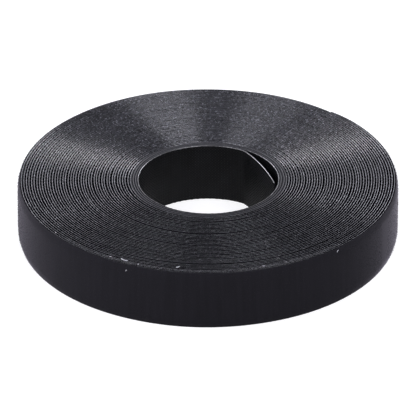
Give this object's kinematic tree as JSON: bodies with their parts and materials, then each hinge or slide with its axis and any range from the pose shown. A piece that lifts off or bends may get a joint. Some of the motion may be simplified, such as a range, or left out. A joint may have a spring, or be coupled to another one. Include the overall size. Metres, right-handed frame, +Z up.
{
  "type": "hook and loop tape roll",
  "caption": "Coreless roll of black back-to-back hook and loop tape, lying flat, with an outer end that peels off and a loose inner end in its bore.",
  "frame": {"origin": "on the axis of the roll, at the level that it rests on", "axes": "+Z up along the axis of the roll, -Y towards the viewer of the picture, +X to the viewer's right"},
  "size_m": [0.1529, 0.1524, 0.025],
  "materials": {
    "wound_tape": "black, slit edges of the tape showing pale",
    "hook_sheet": "black moulded plastic, semi-gloss, covered in small hooks",
    "loop_cloth": "black brushed knit, matt with a soft sheen"
  },
  "bodies": {
    "roll": {"inner_turns": "wound_tape", "hook_strip": "hook_sheet", "loop_strip": "loop_cloth"},
    "outer_tail_1": {"outer_tail_hook_1": "hook_sheet", "outer_tail_loop_1": "loop_cloth"},
    "outer_tail_2": {"outer_tail_hook_2": "hook_sheet", "outer_tail_loop_2": "loop_cloth"},
    "outer_tail_3": {"outer_tail_hook_3": "hook_sheet", "outer_tail_loop_3": "loop_cloth"},
    "outer_tail_4": {"outer_tail_hook_4": "hook_sheet", "outer_tail_loop_4": "loop_cloth"},
    "outer_tail_5": {"outer_tail_hook_5": "hook_sheet", "outer_tail_loop_5": "loop_cloth"},
    "outer_tail_6": {"outer_tail_hook_6": "hook_sheet", "outer_tail_loop_6": "loop_cloth"},
    "inner_tail_1": {"inner_tail_hook_1": "hook_sheet", "inner_tail_loop_1": "loop_cloth"},
    "inner_tail_2": {"inner_tail_hook_2": "hook_sheet", "inner_tail_loop_2": "loop_cloth"},
    "inner_tail_3": {"inner_tail_hook_3": "hook_sheet", "inner_tail_loop_3": "loop_cloth"}
  },
  "joints": [
    {"name": "outer_peel_1", "type": "hinge", "parent": "roll", "child": "outer_tail_1", "pos_m": [0.07511, -0.01568, 0.0125], "axis": [0, 0, -1], "range_deg": [0, 16], "stiffness_Nm_per_rad": 0.04},
    {"name": "outer_peel_2", "type": "hinge", "parent": "outer_tail_1", "child": "outer_tail_2", "pos_m": [0.07672, -0.00242, 0.0125], "axis": [0, 0, -1], "range_deg": [0, 16]},
    {"name": "outer_peel_3", "type": "hinge", "parent": "outer_tail_2", "child": "outer_tail_3", "pos_m": [0.076, 0.01092, 0.0125], "axis": [0, 0, -1], "range_deg": [0, 16]},
    {"name": "outer_peel_4", "type": "hinge", "parent": "outer_tail_3", "child": "outer_tail_4", "pos_m": [0.07299, 0.02394, 0.0125], "axis": [0, 0, -1], "range_deg": [0, 16]},
    {"name": "outer_peel_5", "type": "hinge", "parent": "outer_tail_4", "child": "outer_tail_5", "pos_m": [0.06776, 0.03625, 0.0125], "axis": [0, 0, -1], "range_deg": [0, 16]},
    {"name": "outer_peel_6", "type": "hinge", "parent": "outer_tail_5", "child": "outer_tail_6", "pos_m": [0.06047, 0.04746, 0.0125], "axis": [0, 0, -1], "range_deg": [0, 16]},
    {"name": "inner_flex_1", "type": "hinge", "parent": "roll", "child": "inner_tail_1", "pos_m": [0.01493, 0.02362, 0.0125], "axis": [0, 0, -1], "range_deg": [0, 12], "stiffness_Nm_per_rad": 0.026},
    {"name": "inner_flex_2", "type": "hinge", "parent": "inner_tail_1", "child": "inner_tail_2", "pos_m": [0.0202, 0.0149, 0.0125], "axis": [0, 0, -1], "range_deg": [0, 12]},
    {"name": "inner_flex_3", "type": "hinge", "parent": "inner_tail_2", "child": "inner_tail_3", "pos_m": [0.02398, 0.00649, 0.0125], "axis": [0, 0, -1], "range_deg": [0, 12]}
  ],
  "couplings": [
    {"joint": "outer_peel_2", "follows": "outer_peel_1", "ratio": 1},
    {"joint": "outer_peel_3", "follows": "outer_peel_1", "ratio": 1},
    {"joint": "outer_peel_4", "follows": "outer_peel_1", "ratio": 1},
    {"joint": "outer_peel_5", "follows": "outer_peel_1", "ratio": 1},
    {"joint": "outer_peel_6", "follows": "outer_peel_1", "ratio": 1},
    {"joint": "inner_flex_2", "follows": "inner_flex_1", "ratio": 1},
    {"joint": "inner_flex_3", "follows": "inner_flex_1", "ratio": 1}
  ]
}
